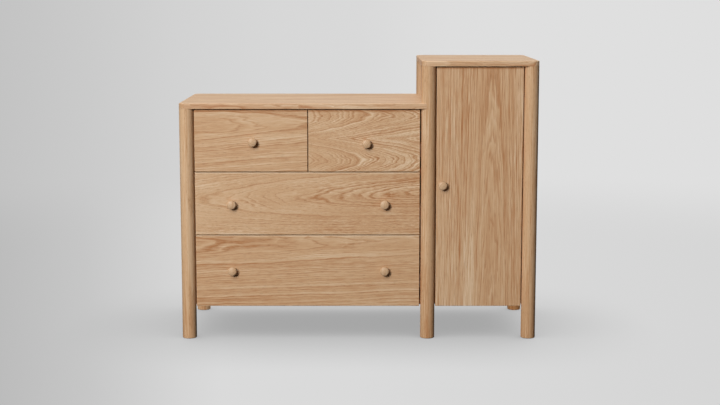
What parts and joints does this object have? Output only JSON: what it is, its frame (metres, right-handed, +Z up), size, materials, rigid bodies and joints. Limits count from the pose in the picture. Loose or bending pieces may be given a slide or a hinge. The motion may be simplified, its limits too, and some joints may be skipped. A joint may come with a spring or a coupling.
{
  "type": "dresser tower",
  "caption": "Light oak chest of drawers joined to a taller cupboard with a door, carried on round full-height posts, with turned wooden knobs; drawers slide out and the door swings.",
  "frame": {"origin": "on the floor under the middle of the whole piece's plan, knobs included", "axes": "+Z up, -Y towards the front with drawers and door, +X to the right seen from the front, where the cupboard is"},
  "size_m": [1.244, 0.532, 0.974],
  "materials": {
    "oak": "satin oiled oak",
    "drawer_wood": "matt lacquered light wood",
    "steel": "zinc plated"
  },
  "bodies": {
    "carcass": {"drawer_divider": "oak", "drawer_rail": "oak", "dresser_back_panel": "oak", "dresser_bottom_panel": "oak", "dresser_top": "oak", "hinge_arms": "steel", "hinge_plates": "steel", "left_back_post": "oak", "left_front_post": "oak", "left_side_panel": "oak", "lower_shelf": "oak", "middle_back_post": "oak", "middle_front_post": "oak", "partition_panel": "oak", "right_back_post": "oak", "right_front_post": "oak", "right_side_panel": "oak", "runner_battens": "drawer_wood", "shelf_pins": "steel", "slide_cabinet_members": "steel", "tower_back_panel": "oak", "tower_bottom_panel": "oak", "tower_top": "oak", "upper_shelf": "oak"},
    "top_left_drawer": {"top_left_drawer_back": "drawer_wood", "top_left_drawer_bottom": "drawer_wood", "top_left_drawer_front": "oak", "top_left_drawer_knob": "oak", "top_left_drawer_left_side": "drawer_wood", "top_left_drawer_right_side": "drawer_wood", "top_left_drawer_slide_drawer_members": "steel"},
    "top_left_drawer_slide_middle": {"top_left_drawer_slide_middle_members": "steel"},
    "top_right_drawer": {"top_right_drawer_back": "drawer_wood", "top_right_drawer_bottom": "drawer_wood", "top_right_drawer_front": "oak", "top_right_drawer_knob": "oak", "top_right_drawer_left_side": "drawer_wood", "top_right_drawer_right_side": "drawer_wood", "top_right_drawer_slide_drawer_members": "steel"},
    "top_right_drawer_slide_middle": {"top_right_drawer_slide_middle_members": "steel"},
    "middle_drawer": {"middle_drawer_back": "drawer_wood", "middle_drawer_bottom": "drawer_wood", "middle_drawer_front": "oak", "middle_drawer_knobs": "oak", "middle_drawer_left_side": "drawer_wood", "middle_drawer_right_side": "drawer_wood", "middle_drawer_slide_drawer_members": "steel"},
    "middle_drawer_slide_middle": {"middle_drawer_slide_middle_members": "steel"},
    "bottom_drawer": {"bottom_drawer_back": "drawer_wood", "bottom_drawer_bottom": "drawer_wood", "bottom_drawer_front": "oak", "bottom_drawer_knobs": "oak", "bottom_drawer_left_side": "drawer_wood", "bottom_drawer_right_side": "drawer_wood", "bottom_drawer_slide_drawer_members": "steel"},
    "bottom_drawer_slide_middle": {"bottom_drawer_slide_middle_members": "steel"},
    "door": {"door_panel": "oak", "door_knob": "oak", "hinge_cups": "steel", "hinge_pins": "steel"}
  },
  "joints": [
    {"name": "top_left_drawer_slide", "type": "slide", "parent": "carcass", "child": "top_left_drawer", "axis": [0, -1, 0], "range_m": [0, 0.38]},
    {"name": "top_left_drawer_slide_middle_travel", "type": "slide", "parent": "carcass", "child": "top_left_drawer_slide_middle", "axis": [0, -1, 0], "range_m": [0, 0.19]},
    {"name": "top_right_drawer_slide", "type": "slide", "parent": "carcass", "child": "top_right_drawer", "axis": [0, -1, 0], "range_m": [0, 0.38]},
    {"name": "top_right_drawer_slide_middle_travel", "type": "slide", "parent": "carcass", "child": "top_right_drawer_slide_middle", "axis": [0, -1, 0], "range_m": [0, 0.19]},
    {"name": "middle_drawer_slide", "type": "slide", "parent": "carcass", "child": "middle_drawer", "axis": [0, -1, 0], "range_m": [0, 0.38]},
    {"name": "middle_drawer_slide_middle_travel", "type": "slide", "parent": "carcass", "child": "middle_drawer_slide_middle", "axis": [0, -1, 0], "range_m": [0, 0.19]},
    {"name": "bottom_drawer_slide", "type": "slide", "parent": "carcass", "child": "bottom_drawer", "axis": [0, -1, 0], "range_m": [0, 0.38]},
    {"name": "bottom_drawer_slide_middle_travel", "type": "slide", "parent": "carcass", "child": "bottom_drawer_slide_middle", "axis": [0, -1, 0], "range_m": [0, 0.19]},
    {"name": "door_hinge", "type": "hinge", "parent": "carcass", "child": "door", "pos_m": [0.556, -0.229, 0.53325], "axis": [0, 0, 1], "range_deg": [0, 105]}
  ],
  "couplings": [
    {"joint": "top_left_drawer_slide_middle_travel", "follows": "top_left_drawer_slide", "ratio": 0.5},
    {"joint": "top_right_drawer_slide_middle_travel", "follows": "top_right_drawer_slide", "ratio": 0.5},
    {"joint": "middle_drawer_slide_middle_travel", "follows": "middle_drawer_slide", "ratio": 0.5},
    {"joint": "bottom_drawer_slide_middle_travel", "follows": "bottom_drawer_slide", "ratio": 0.5}
  ]
}
